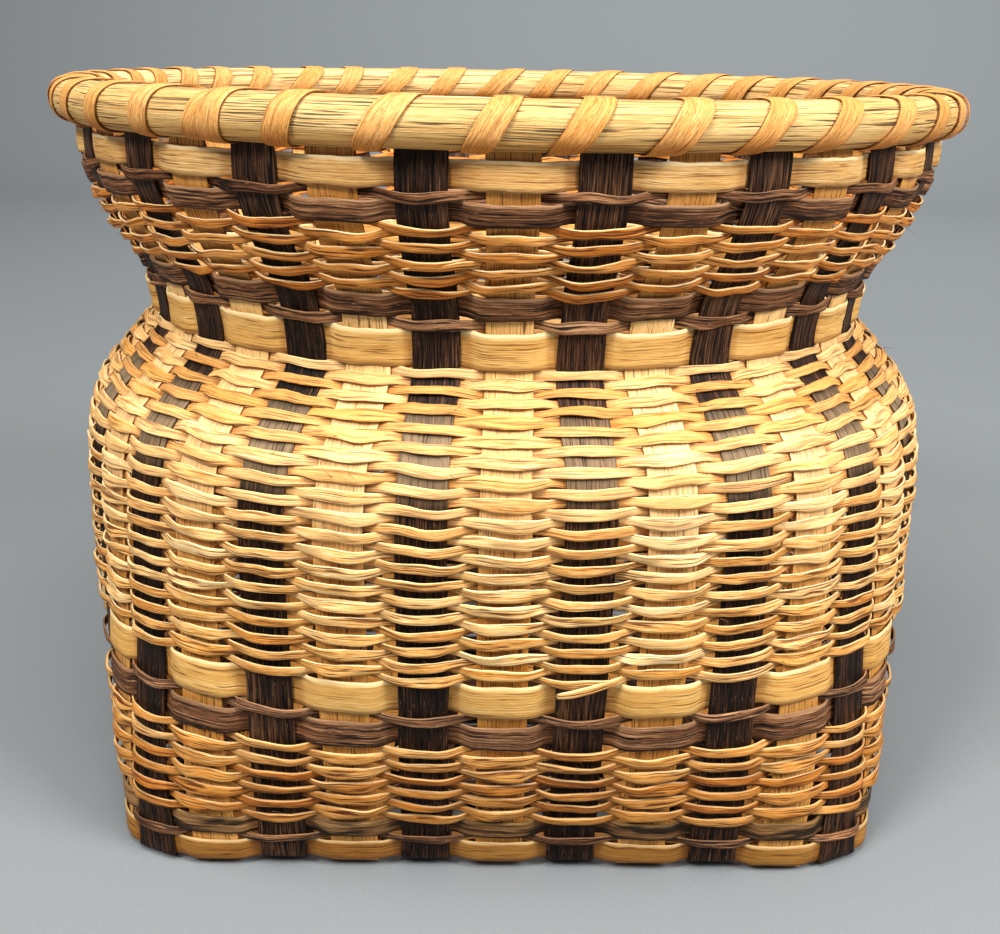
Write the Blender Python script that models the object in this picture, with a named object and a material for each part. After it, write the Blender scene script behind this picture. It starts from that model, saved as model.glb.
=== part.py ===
"""Woven splint basket: rectangular plaited base, bulging body, drawn-in neck
and a round flared mouth.  Twenty flat uprights cross in the base and rise up
opposite walls; flat weavers go over one upright and under the next; two hoops
and a spiral lashing close the rim.  Lengths below are millimetres, the scene
is in metres with +Z up, and the basket stands on z = 0."""
import math

import bmesh
import bpy
from mathutils import Vector

MM = 0.001

# ---------------------------------------------------------------- dimensions
# wall profile, foot to rim: height, half width across the front,
# depth / width, squareness of the plan (2 = ellipse)
PROFILE = [
    (0.0, 156.0, 0.823, 10.0), (24.0, 160.6, 0.842, 6.0),
    (54.5, 168.7, 0.864, 3.7), (95.0, 175.3, 0.900, 2.75),
    (131.0, 176.8, 0.938, 2.52), (159.0, 177.6, 0.965, 2.38),
    (179.5, 174.8, 0.980, 2.28), (195.6, 163.8, 0.990, 2.16),
    (212.0, 151.3, 1.0, 2.12), (232.0, 155.0, 1.0, 2.08),
    (256.0, 169.3, 1.0, 2.03), (280.0, 177.8, 1.0, 2.0),
    (320.0, 177.8, 1.0, 2.0),
]
# spacing of the front and back uprights by height, in mean pitches; the side
# ones share what is left
SPREAD = [(0.0, 1.052), (50.0, 1.05), (90.0, 1.04), (130.0, 1.03),
          (160.0, 1.02), (180.0, 1.01), (196.0, 1.01), (212.0, 1.015),
          (240.0, 1.025), (264.0, 1.045), (284.0, 1.05), (320.0, 1.05)]
CORNER_TUCK = 0.20       # at the foot the last front upright stands this many
TUCK_HEIGHT = 60.0       # pitches nearer the middle; nothing from this height
FOOT_RISE = 3.0          # height where the uprights stand clear of the base

N_FRONT = 11             # uprights that run front to back
N_SIDE = 9               # uprights that run left to right
N_UP = 2 * (N_FRONT + N_SIDE)
UP_THICK = 0.9
# upright width by height: full in the body, shaved where the neck draws in
UP_WIDTH = [(0.0, 19.0), (150.0, 18.6), (190.0, 17.4), (225.0, 16.4),
            (290.0, 17.6), (320.0, 17.6)]

WEAVE_THICK = 0.8
CLEAR = 0.3              # air left between pieces that touch on the real one
EDGE_GAP = 0.3           # air between one row and the next

# wall knots, as length up the wall from the foot
KNOTS = [28.0, 69.4, 101.6, 164.0, 179.0, 194.0, 209.0, 224.8, 239.0,
         253.7, 282.7, 304.2, 322.0]

# rows from the foot up: node name, lower and upper edge as length up the
# wall, which uprights it passes in front of, colour
ROWS = [
    ("weaver_67_wide_natural", 5.0, 15.6, "natural", "splint_natural"),
    ("weaver_66_narrow_dark", 15.6, 19.2, "dark", "splint_walnut"),
    ("weaver_65_wide_dark", 19.2, 28.0, "natural", "splint_walnut"),
    ("lower_narrow_weavers", 28.0, 69.4, "dark", "splint_tan"),
    ("weaver_53_wide_dark", 69.4, 82.1, "natural", "splint_walnut"),
    ("weaver_52_narrow_dark", 82.1, 86.3, "dark", "splint_walnut"),
    ("weaver_51_wide_natural", 86.3, 101.6, "natural", "splint_natural"),
    ("body_narrow_weavers", 101.6, 224.8, "dark", "splint_tan"),
    ("weaver_15_wide_natural", 224.8, 239.0, "natural", "splint_natural"),
    ("weaver_14_narrow_dark", 239.0, 243.4, "dark", "splint_walnut"),
    ("weaver_13_wide_dark", 243.4, 253.7, "natural", "splint_walnut"),
    ("neck_narrow_weavers", 253.7, 282.7, "dark", "splint_tan"),
    ("weaver_03_wide_dark", 282.7, 290.9, "natural", "splint_walnut"),
    ("weaver_02_narrow_dark", 290.9, 294.5, "dark", "splint_walnut"),
    ("weaver_01_wide_natural", 294.5, 304.2, "natural", "splint_natural"),
]

RIM_Z = 296.5            # mid height of the two hoops
HOOP_HALF = 8.0          # half the height of a hoop at its flat back
HOOP_FLAT = 4.4          # half the height of its outer face
HOOP_BACK = 0.75         # flat back of each hoop, from the middle of the wall
HOOP_FACE = 10.6         # face of each hoop, from the middle of the wall
LASH_WIDTH = 7.8
LASH_THICK = 0.8
LASH_FACE = 11.6
LASH_FLAT = 5.1
LASH_TOP = 9.34

MATERIALS = {            # colour, roughness
    "splint_natural": ((0.72, 0.50, 0.24), 0.62),
    "splint_tan": ((0.66, 0.42, 0.18), 0.62),
    "splint_walnut": ((0.085, 0.050, 0.036), 0.60),
    "rim_oak": ((0.74, 0.58, 0.33), 0.60),
    "lashing_oak": ((0.70, 0.48, 0.22), 0.60),
}


# ------------------------------------------------------------------- helpers
def table(rows, col, x):
    """Smooth value of one column of a table (monotone cubic)."""
    n = len(rows)
    x = min(max(x, rows[0][0]), rows[-1][0])
    k = 0
    while k < n - 2 and x > rows[k + 1][0]:
        k += 1

    def slope(i):
        return ((rows[i + 1][col] - rows[i][col])
                / (rows[i + 1][0] - rows[i][0]))

    def tangent(i):
        if i == 0:
            return slope(0)
        if i == n - 1:
            return slope(n - 2)
        a, b = slope(i - 1), slope(i)
        if a * b <= 0.0:
            return 0.0
        h0 = rows[i][0] - rows[i - 1][0]
        h1 = rows[i + 1][0] - rows[i][0]
        w0, w1 = 2 * h1 + h0, h1 + 2 * h0
        return (w0 + w1) / (w0 / a + w1 / b)

    h = rows[k + 1][0] - rows[k][0]
    t = (x - rows[k][0]) / h
    m0, m1 = tangent(k) * h, tangent(k + 1) * h
    y0, y1 = rows[k][col], rows[k + 1][col]
    return ((2 * t ** 3 - 3 * t ** 2 + 1) * y0 + (t ** 3 - 2 * t ** 2 + t) * m0
            + (3 * t ** 2 - 2 * t ** 3) * y1 + (t ** 3 - t ** 2) * m1)


def plan(z, steps=1440):
    """Closed outline of the wall's mid surface at height z, from the middle
    of the front face round to the right."""
    ax = table(PROFILE, 1, z)
    ay = ax * table(PROFILE, 2, z)
    n = table(PROFILE, 3, z)
    pts = []
    for k in range(steps):
        th = -math.pi / 2 + 2 * math.pi * k / steps
        c, s = math.cos(th), math.sin(th)
        pts.append((ax * math.copysign(abs(c) ** (2 / n), c),
                    ay * math.copysign(abs(s) ** (2 / n), s)))
    return pts


def stations(z):
    """Upright centres on the outline at height z, with the outline's tangent.
    Number 0 is the middle of the front, numbers grow to the right; the gap at
    each corner is a little tighter low down."""
    pts = plan(z)
    m = len(pts)
    length = [0.0]
    for k in range(m):
        a, b = pts[k], pts[(k + 1) % m]
        length.append(length[-1] + math.hypot(b[0] - a[0], b[1] - a[1]))
    total = length[-1]
    quarter = total / 4
    corner = 0.85 + 0.15 * min(1.0, max(0.0, (z - 200.0) / 80.0))
    half_f, half_s = (N_FRONT - 1) // 2, (N_SIDE - 1) // 2
    pitch = quarter / (half_f + half_s + corner)
    front = table(SPREAD, 1, z)
    side = (half_f + half_s - half_f * front) / half_s
    tuck = CORNER_TUCK * (1.0 - min(1.0, z / TUCK_HEIGHT)) ** 2

    def along(i):
        """Length from the middle of the front to upright i (0 to N_UP/4)."""
        if i <= half_f:
            return (i * front - tuck * max(0, i - half_f + 2) / 2) * pitch
        return (half_f * front + corner + (i - half_f - 1) * side) * pitch

    out = []
    for i in range(N_UP):
        q = N_UP // 4
        if i <= q:
            s = along(i)
        elif i <= 2 * q:
            s = 2 * quarter - along(2 * q - i)
        elif i <= 3 * q:
            s = 2 * quarter + along(i - 2 * q)
        else:
            s = total - along(4 * q - i)
        s = s % total
        lo, hi = 0, m
        while hi - lo > 1:
            mid = (lo + hi) // 2
            if length[mid] <= s:
                lo = mid
            else:
                hi = mid
        a, b = pts[lo], pts[(lo + 1) % m]
        f = (s - length[lo]) / max(1e-9, length[lo + 1] - length[lo])
        p = (a[0] + f * (b[0] - a[0]), a[1] + f * (b[1] - a[1]))
        a, b = pts[(lo - 6) % m], pts[(lo + 7) % m]
        d = math.hypot(b[0] - a[0], b[1] - a[1])
        out.append((Vector((p[0], p[1], z)),
                    Vector(((b[0] - a[0]) / d, (b[1] - a[1]) / d, 0.0))))
    return out


def wall_heights():
    """Height of each knot, measured up the middle of the front face."""
    want = [None] + KNOTS
    heights = [FOOT_RISE]
    z, s = 0.0, 0.0
    y = table(PROFILE, 1, 0) * table(PROFILE, 2, 0)
    k, dz = 1, 0.05
    lengths = [None]
    while k < len(want) and z < 319.9:
        z2 = z + dz
        y2 = table(PROFILE, 1, z2) * table(PROFILE, 2, z2)
        s2 = s + math.hypot(z2 - z, y2 - y)
        if z < FOOT_RISE <= z2:
            lengths[0] = s2
        if s2 >= want[k]:
            heights.append(z + dz * (want[k] - s) / (s2 - s))
            lengths.append(want[k])
            k += 1
        z, y, s = z2, y2, s2
    return heights, lengths


HEIGHTS, LENGTHS = wall_heights()
LEVELS = [stations(z) for z in HEIGHTS]


LOW_TURN, HIGH_TURN = 101.6, 224.8    # uprights only twist between these
FOOT_RING = stations(50.0)
MOUTH_RING = stations(RIM_Z)


def facing(level, i):
    """Direction along the wall in which upright i lies flat at a knot."""
    f = (LENGTHS[level] - LOW_TURN) / (HIGH_TURN - LOW_TURN)
    f = min(1.0, max(0.0, f))
    return FOOT_RING[i][1].lerp(MOUTH_RING[i][1], f).normalized()


def frame_at(level, i):
    """Centre, tangent and outward normal of upright i at a knot."""
    p, t = LEVELS[level][i][0], facing(level, i)
    lo, hi = max(level - 1, 0), min(level + 1, len(LEVELS) - 1)
    up = (LEVELS[hi][i][0] - LEVELS[lo][i][0]).normalized()
    return p, t, t.cross(up).normalized()


FRAMES = [[frame_at(k, i) for i in range(N_UP)] for k in range(len(LEVELS))]


def frame_between(s, i):
    """The same, at any length s up the wall, straight between the knots."""
    k = 0
    while k < len(LENGTHS) - 2 and s > LENGTHS[k + 1]:
        k += 1
    f = (s - LENGTHS[k]) / (LENGTHS[k + 1] - LENGTHS[k])
    a, b = FRAMES[k][i], FRAMES[k + 1][i]
    return tuple(a[j].lerp(b[j], f) for j in range(3))


def up_width(z):
    rows = UP_WIDTH
    k = 0
    while k < len(rows) - 2 and z > rows[k + 1][0]:
        k += 1
    f = (z - rows[k][0]) / (rows[k + 1][0] - rows[k][0])
    return rows[k][1] + min(max(f, 0.0), 1.0) * (rows[k + 1][1] - rows[k][1])


def is_dark(i):
    return i % 2 == 1


def material(name):
    mat = bpy.data.materials.get(name)
    if mat is None:
        colour, rough = MATERIALS[name]
        mat = bpy.data.materials.new(name)
        mat.use_nodes = True
        bsdf = mat.node_tree.nodes["Principled BSDF"]
        bsdf.inputs["Base Color"].default_value = (*colour, 1.0)
        bsdf.inputs["Roughness"].default_value = rough
        bsdf.inputs["Metallic"].default_value = 0.0
        mat.diffuse_color = (*colour, 1.0)
    return mat


def strip(name, loops, closed, slot, parent, keys=None):
    """Solid through a list of cross-section loops of equal length.  keys gives
    each vertex its place (round, up) on the wall, so that the twisted faces
    of neighbouring pieces are folded along the same diagonal."""
    bm = bmesh.new()
    rings = [[bm.verts.new(v * MM) for v in loop] for loop in loops]
    n = len(rings[0])
    order = list(range(len(rings)))
    pairs = list(zip(order, order[1:]))
    if closed:
        pairs.append((order[-1], 0))
    for ia, ib in pairs:
        a, b = rings[ia], rings[ib]
        for j in range(n):
            j2 = (j + 1) % n
            quad = (a[j], a[j2], b[j2], b[j])
            if keys is None:
                bm.faces.new(quad)
                continue
            k0, k2 = keys[ia][j], keys[ib][j2]
            if (k2[0] - k0[0]) * (k2[1] - k0[1]) > 0:
                bm.faces.new((quad[0], quad[1], quad[2]))
                bm.faces.new((quad[0], quad[2], quad[3]))
            else:
                bm.faces.new((quad[1], quad[2], quad[3]))
                bm.faces.new((quad[1], quad[3], quad[0]))
    if not closed:
        bm.faces.new(rings[0])
        bm.faces.new(list(reversed(rings[-1])))
    bmesh.ops.recalc_face_normals(bm, faces=bm.faces)
    if bm.calc_volume(signed=True) < 0:
        bmesh.ops.reverse_faces(bm, faces=bm.faces)
    mesh = bpy.data.meshes.new(name)
    bm.to_mesh(mesh)
    bm.free()
    mesh.shade_smooth()
    mesh.set_sharp_from_angle(angle=math.radians(32.0))
    mesh.materials.append(material(slot))
    obj = bpy.data.objects.new(name, mesh)
    bpy.context.scene.collection.objects.link(obj)
    obj.parent = parent
    return obj


# -------------------------------------------------------------------- pieces
def section(p, t, n, width, thick):
    """Rectangular cross-section of a flat splint."""
    a, b = t * (width / 2), n * (thick / 2)
    return [p - a - b, p + a - b, p + a + b, p - a + b]


def upright(name, i, j, lift, slot, parent):
    """A splint that rises at station i, crosses the base and rises at j."""
    loops, keys = [], []
    top = len(LEVELS) - 1
    for k in range(top, -1, -1):
        p, t, n = FRAMES[k][i]
        loops.append(section(p, t, n, up_width(p.z), UP_THICK))
        keys.append([(u, k) for u in (-1, 1, 1, -1)])
    # the base run: straight from one foot to the other
    pi, ti, _ = FRAMES[0][i]
    pj, tj, _ = FRAMES[0][j]
    run = (pj - pi).normalized()
    across = Vector((-run.y, run.x, 0.0))
    if across.dot(ti) < 0:
        across = -across
    down = Vector((0.0, 0.0, -1.0))
    inset = 3.0
    width = up_width(0.0)
    bend_t = ti.lerp(across, 0.6).normalized()
    out_i = -run
    bend_n = (out_i + down).normalized()
    loops.append(section(Vector((pi.x, pi.y, 0)) + run * 0.7
                         + Vector((0, 0, lift + 0.55)), bend_t, bend_n,
                         width, UP_THICK))
    loops.append(section(Vector((pi.x, pi.y, lift)) + run * inset,
                         across, down, width, UP_THICK))
    # far side: the tangent runs the other way there, so turn it to match
    loops.append(section(Vector((pj.x, pj.y, lift)) - run * inset,
                         across, down, width, UP_THICK))
    bend_t = (-tj).lerp(across, 0.6).normalized()
    bend_n = (run + down).normalized()
    loops.append(section(Vector((pj.x, pj.y, 0)) - run * 0.7
                         + Vector((0, 0, lift + 0.55)), bend_t, bend_n,
                         width, UP_THICK))
    for k in (-1, -2, -2, -1):
        keys.append([(u, k) for u in (-1, 1, 1, -1)])
    for k in range(0, top + 1):
        p, t, n = FRAMES[k][j]
        loops.append(section(p, -t, n, up_width(p.z), UP_THICK))
        keys.append([(u, k) for u in (1, -1, -1, 1)])
    return strip(name, loops, False, slot, parent, keys)


def weaver(name, s0, s1, front_of, slot, parent):
    """A row, or a packed band of rows, woven round all the uprights."""
    s0, s1 = s0 + EDGE_GAP / 2, s1 - EDGE_GAP / 2
    levels = [s0] + [s for s in LENGTHS if s0 + 0.5 < s < s1 - 0.5] + [s1]
    off = UP_THICK / 2 + CLEAR + WEAVE_THICK / 2
    loops, keys = [], []
    for i in range(N_UP):
        side = 1.0 if is_dark(i) == (front_of == "dark") else -1.0
        for end in (-1.0, 1.0):
            outer, inner = [], []
            for s in levels:
                p, t, n = frame_between(s, i)
                half = up_width(p.z) / 2 + 1.0
                q = p + t * (end * half) + n * (side * off)
                outer.append(q + n * (WEAVE_THICK / 2))
                inner.append(q - n * (WEAVE_THICK / 2))
            loops.append(outer + list(reversed(inner)))
            row = [(i + 0.1 * end, s) for s in levels]
            keys.append(row + list(reversed(row)))
    # the seam between the last upright and the first runs on round the wall
    return strip(name, loops, True, slot, parent, keys)


def rim_corners():
    """The rim follows a ring of straight runs, one behind each upright.  This
    gives the corner after each upright: its place on the middle of the wall,
    the tangent, and the direction in which an offset moves it."""
    ring = []
    for p, t in MOUTH_RING:
        ring.append((p, t, Vector((t.y, -t.x, 0.0))))
    out = []
    for k in range(N_UP):
        (p0, t0, n0), (_, t1, n1) = ring[k], ring[(k + 1) % N_UP]
        mid = (n0 + n1).normalized()
        scale = 1.0 / mid.dot(n0)
        flat = Vector((p0.x, p0.y, 0.0))
        out.append((mid * (flat.dot(n0) * scale) + Vector((0, 0, RIM_Z)),
                    (t0 + t1).normalized(), mid * scale))
    return out


RIM_CORNERS = rim_corners()


def rim_frame(u):
    """Wall centre, tangent and outward direction at the rim; u counts
    uprights from the middle of the front."""
    k = math.floor(u - 0.5)
    f = u - 0.5 - k
    a, b = RIM_CORNERS[k % N_UP], RIM_CORNERS[(k + 1) % N_UP]
    return a[0].lerp(b[0], f), a[1].lerp(b[1], f), a[2].lerp(b[2], f)


def hoop(name, side, slot, parent):
    loops = []
    outline = [(HOOP_BACK, -HOOP_HALF), (HOOP_FACE, -HOOP_FLAT),
               (HOOP_FACE, HOOP_FLAT), (HOOP_BACK, HOOP_HALF)]
    for i in range(N_UP):
        p, t, n = rim_frame(i + 0.5)
        loops.append([p + n * (side * r) + Vector((0, 0, h))
                      for r, h in outline])
    return strip(name, loops, True, slot, parent)


def lashing(name, slot, parent):
    """One flat splint that winds round both hoops and dives through the wall
    in every gap between uprights."""
    path = [(0.0, 0.0, -LASH_TOP), (0.13, LASH_FACE, -LASH_FLAT),
            (0.40, LASH_FACE, LASH_FLAT), (0.5, 0.0, LASH_TOP),
            (0.60, -LASH_FACE, LASH_FLAT), (0.87, -LASH_FACE, -LASH_FLAT)]
    corner = [math.radians(a) for a in (-90, -35, 35, 90, 145, 215)]
    loops = []
    for k in range(N_UP):
        for (du, r, h), ang in zip(path, corner):
            p, t, n = rim_frame(k + 0.5 + du)
            q = p + n * r + Vector((0, 0, h))
            out = n * math.cos(ang) + Vector((0, 0, math.sin(ang)))
            loops.append(section(q, t, out, LASH_WIDTH, LASH_THICK))
    return strip(name, loops, True, slot, parent)


def main():
    for obj in list(bpy.data.objects):
        bpy.data.objects.remove(obj, do_unlink=True)
    root = bpy.data.objects.new("basket", None)
    bpy.context.scene.collection.objects.link(root)

    low = UP_THICK / 2
    high = low + UP_THICK + CLEAR
    half_f = (N_FRONT - 1) // 2
    for k in range(N_FRONT):
        i = k - half_f
        slot = "splint_walnut" if is_dark(i) else "splint_natural"
        upright("upright_front_back_%02d" % (k + 1), i % N_UP,
                (N_UP // 2 - i) % N_UP, low, slot, root)
    for k in range(N_SIDE):
        i = half_f + 1 + k
        slot = "splint_walnut" if is_dark(i) else "splint_natural"
        upright("upright_left_right_%02d" % (k + 1), i,
                (N_UP - i) % N_UP, high, slot, root)
    for name, s0, s1, front_of, slot in ROWS:
        weaver(name, s0, s1, front_of, slot, root)
    hoop("outer_rim_hoop", 1.0, "rim_oak", root)
    hoop("inner_rim_hoop", -1.0, "rim_oak", root)
    lashing("rim_lashing", "lashing_oak", root)


main()
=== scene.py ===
"""Looks of a woven splint basket: every weaver row, upright, hoop and wrap of the
lashing as its own splint, woven round the wall that the CAD model holds.
Lengths are millimetres until a mesh is made; the scene is in metres."""

import math

import bpy
import numpy as np
from mathutils import Matrix, Vector


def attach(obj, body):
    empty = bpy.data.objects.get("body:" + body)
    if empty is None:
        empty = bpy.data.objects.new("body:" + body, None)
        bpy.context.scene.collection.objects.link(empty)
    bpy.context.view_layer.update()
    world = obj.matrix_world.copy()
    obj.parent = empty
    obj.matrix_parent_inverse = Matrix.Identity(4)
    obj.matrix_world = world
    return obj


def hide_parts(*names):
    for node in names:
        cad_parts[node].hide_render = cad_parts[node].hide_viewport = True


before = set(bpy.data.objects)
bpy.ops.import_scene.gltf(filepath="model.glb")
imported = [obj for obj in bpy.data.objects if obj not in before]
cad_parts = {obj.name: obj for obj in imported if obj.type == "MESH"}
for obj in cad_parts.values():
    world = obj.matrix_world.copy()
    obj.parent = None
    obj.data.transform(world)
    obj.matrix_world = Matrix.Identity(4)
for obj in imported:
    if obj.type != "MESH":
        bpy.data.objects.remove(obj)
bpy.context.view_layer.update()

MM = 0.001
PI = math.pi

# ------------------------------------------------------------------ the wall
# height, half width across the front, depth / width, squareness of the plan
PROFILE = np.array([
    (0.0, 156.0, 0.823, 10.0), (24.0, 160.6, 0.842, 6.0),
    (54.5, 168.7, 0.864, 3.7), (95.0, 175.3, 0.900, 2.75),
    (131.0, 176.8, 0.938, 2.52), (159.0, 177.6, 0.965, 2.38),
    (179.5, 174.8, 0.980, 2.28), (195.6, 163.8, 0.990, 2.16),
    (212.0, 151.3, 1.0, 2.12), (232.0, 155.0, 1.0, 2.08),
    (256.0, 169.3, 1.0, 2.03), (280.0, 177.8, 1.0, 2.0),
    (320.0, 177.8, 1.0, 2.0),
])
# spacing of the front and back uprights by height, in mean pitches
SPREAD = np.array([
    (0.0, 1.052), (50.0, 1.05), (90.0, 1.04), (130.0, 1.03), (160.0, 1.02),
    (180.0, 1.01), (196.0, 1.01), (212.0, 1.015), (240.0, 1.025),
    (264.0, 1.045), (284.0, 1.05), (320.0, 1.05),
])
DOME = 3.2                # the base stands on its corners, its middle this high
N_UP = 40
FINE = 24                 # samples from one upright to the next
ZTOP = 306
RIM_Z = 296.5
RIM_R = 177.8
UP_WIDTH = ([0.0, 150.0, 190.0, 225.0, 290.0, 320.0],
            [19.0, 18.6, 17.4, 16.4, 17.6, 17.6])
CORNERS = (5.5, 14.5, 25.5, 34.5)


def pchip(xs, ys, x):
    """Monotone cubic through a table."""
    xs, ys = np.asarray(xs, float), np.asarray(ys, float)
    h = np.diff(xs)
    d = np.diff(ys) / h
    m = np.empty_like(ys)
    m[0], m[-1] = d[0], d[-1]
    for i in range(1, len(xs) - 1):
        if d[i - 1] * d[i] <= 0:
            m[i] = 0.0
        else:
            w0, w1 = 2 * h[i] + h[i - 1], h[i] + 2 * h[i - 1]
            m[i] = (w0 + w1) / (w0 / d[i - 1] + w1 / d[i])
    x = np.clip(x, xs[0], xs[-1])
    k = np.clip(np.searchsorted(xs, x, side="right") - 1, 0, len(h) - 1)
    t = (x - xs[k]) / h[k]
    return ((2 * t ** 3 - 3 * t ** 2 + 1) * ys[k]
            + (t ** 3 - 2 * t ** 2 + t) * h[k] * m[k]
            + (3 * t ** 2 - 2 * t ** 3) * ys[k + 1]
            + (t ** 3 - t ** 2) * h[k] * m[k + 1])


def along(u, corner, front, tuck):
    """Share of a quarter's length from the middle of a face, in pitches."""
    side = (9 - 5 * front) / 4
    return np.where(u <= 5, u * front - tuck * np.maximum(0, u - 3) / 2,
                    np.where(u <= 6, 5 * front + (u - 5) * corner
                             - tuck * (6 - u),
                             5 * front + corner + (u - 6) * side))


def at_corner(x, y):
    """1 at the four corners of the base, 0 along the middles of its sides."""
    return np.minimum(1.0, 1.2 * np.abs(x / 156.0) ** 3
                      * np.abs(y / 128.4) ** 3)


def build_wall():
    th = -PI / 2 + 2 * PI * np.arange(2881) / 2880
    c, s = np.cos(th), np.sin(th)
    zs = np.arange(ZTOP + 1.0)
    ax = pchip(PROFILE[:, 0], PROFILE[:, 1], zs)
    ay = ax * pchip(PROFILE[:, 0], PROFILE[:, 2], zs)
    nn = pchip(PROFILE[:, 0], PROFILE[:, 3], zs)
    front = pchip(SPREAD[:, 0], SPREAD[:, 1], zs)
    u = np.arange(N_UP * FINE + 1) / FINE
    q = N_UP // 4
    out = np.zeros((len(zs), len(u), 3))
    for k, z in enumerate(zs):
        x = ax[k] * np.sign(c) * np.abs(c) ** (2 / nn[k])
        y = ay[k] * np.sign(s) * np.abs(s) ** (2 / nn[k])
        run = np.r_[0, np.cumsum(np.hypot(np.diff(x), np.diff(y)))]
        quarter = run[-1] / 4
        corner = 0.85 + 0.15 * min(1.0, max(0.0, (z - 200.0) / 80.0))
        pitch = quarter / (9 + corner)
        near = np.where(u <= q, u, np.where(u <= 2 * q, 2 * q - u,
               np.where(u <= 3 * q, u - 2 * q, 4 * q - u)))
        tuck = 0.20 * (1.0 - min(1.0, z / 60.0)) ** 2
        part = along(near, corner, front[k], tuck) * pitch
        at = np.where(u <= q, part, np.where(u <= 2 * q, 2 * quarter - part,
             np.where(u <= 3 * q, 2 * quarter + part, 4 * quarter - part)))
        out[k, :, 0] = np.interp(at, run, x)
        out[k, :, 1] = np.interp(at, run, y)
        out[k, :, 2] = z
    fade = np.clip((55.0 - zs) / 45.0, 0.0, 1.0)
    fade = fade * fade * (3 - 2 * fade)
    low = at_corner(out[2, :, 0], out[2, :, 1])
    out[:, :, 2] -= DOME * fade[:, None] * low[None, :]
    return out


def unit(v):
    return v / np.maximum(np.linalg.norm(v, axis=-1, keepdims=True), 1e-12)


WP = build_wall()
_p = np.concatenate([WP[:, -4:-1], WP, WP[:, 1:4]], axis=1)
WT = _p[:, 5:-1] - _p[:, 1:-5]                    # over four samples round
WM = np.linalg.norm(WT, axis=-1) * FINE / 4       # mm for one upright's pitch
WT = unit(WT)
WU = np.gradient(WP, axis=0)
WN = unit(np.cross(WT, unit(WU)))
_y = -WP[:, 0, 1]
S_OF_Z = np.r_[0, np.cumsum(np.hypot(np.diff(_y), 1.0))]


def pick(table, u, z):
    fu = np.mod(u, N_UP) * FINE
    i = np.minimum(np.floor(fu).astype(int), N_UP * FINE - 1)
    f = fu - i
    fz = np.clip(z, 0.0, ZTOP - 0.001)
    k = np.floor(fz).astype(int)
    g = fz - k
    if table.ndim == 3:
        f, g = f[..., None], g[..., None]
    return ((1 - f) * (1 - g) * table[k, i] + f * (1 - g) * table[k, i + 1]
            + (1 - f) * g * table[k + 1, i] + f * g * table[k + 1, i + 1])


def on_wall(u, z, n):
    """Points at place u round the wall, height z and n outside its middle."""
    u, z, n = np.broadcast_arrays(np.asarray(u, float), z, n)
    return pick(WP, u, z) + unit(pick(WN, u, z)) * n[..., None]


def z_of(s):
    return np.interp(s, S_OF_Z, np.arange(ZTOP + 1.0))


# ------------------------------------------------------------------- wander
def wander(rng, u, lo, hi, amount, n=9):
    """A smooth random line that closes after one turn round the basket."""
    out = np.zeros_like(u)
    for k in rng.integers(lo, hi, n):
        out += rng.normal() * np.cos(2 * PI * k * u / N_UP
                                     + rng.uniform(0, 2 * PI))
    return out * amount / math.sqrt(n / 2)


_rf = np.random.default_rng(41)
FIELD = [(int(k), _rf.uniform(0, 2 * PI), _rf.choice((-1, 1)) / _rf.uniform(7, 26),
          _rf.normal()) for k in _rf.integers(4, 56, 26)]


def field(u, s):
    """Drift shared by neighbouring rows, so that they wander side by side."""
    out = np.zeros(np.broadcast(u, s).shape)
    for k, phase, slope, a in FIELD:
        out += a * np.cos(2 * PI * k * u / N_UP + phase + s * slope)
    return out / math.sqrt(len(FIELD) / 2)


# ------------------------------------------------------------------- meshes
def profile(kind):
    """Cross-section of a splint going round: thickness and width, -1 to 1."""
    if kind == "narrow":
        half = [(-1.0, 0.46), (-0.92, 0.90), (-0.46, 1.0), (0.46, 1.0),
                (0.92, 0.90), (1.0, 0.46)]
    else:
        half = [(-1.0, 0.34), (-0.968, 0.86), (-0.62, 1.0), (-0.2, 1.0),
                (0.2, 1.0), (0.62, 1.0), (0.968, 0.86), (1.0, 0.34)]
    pts = [(a, b) for b, a in half] + [(-a, b) for b, a in reversed(half)]
    return np.array(pts)


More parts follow.
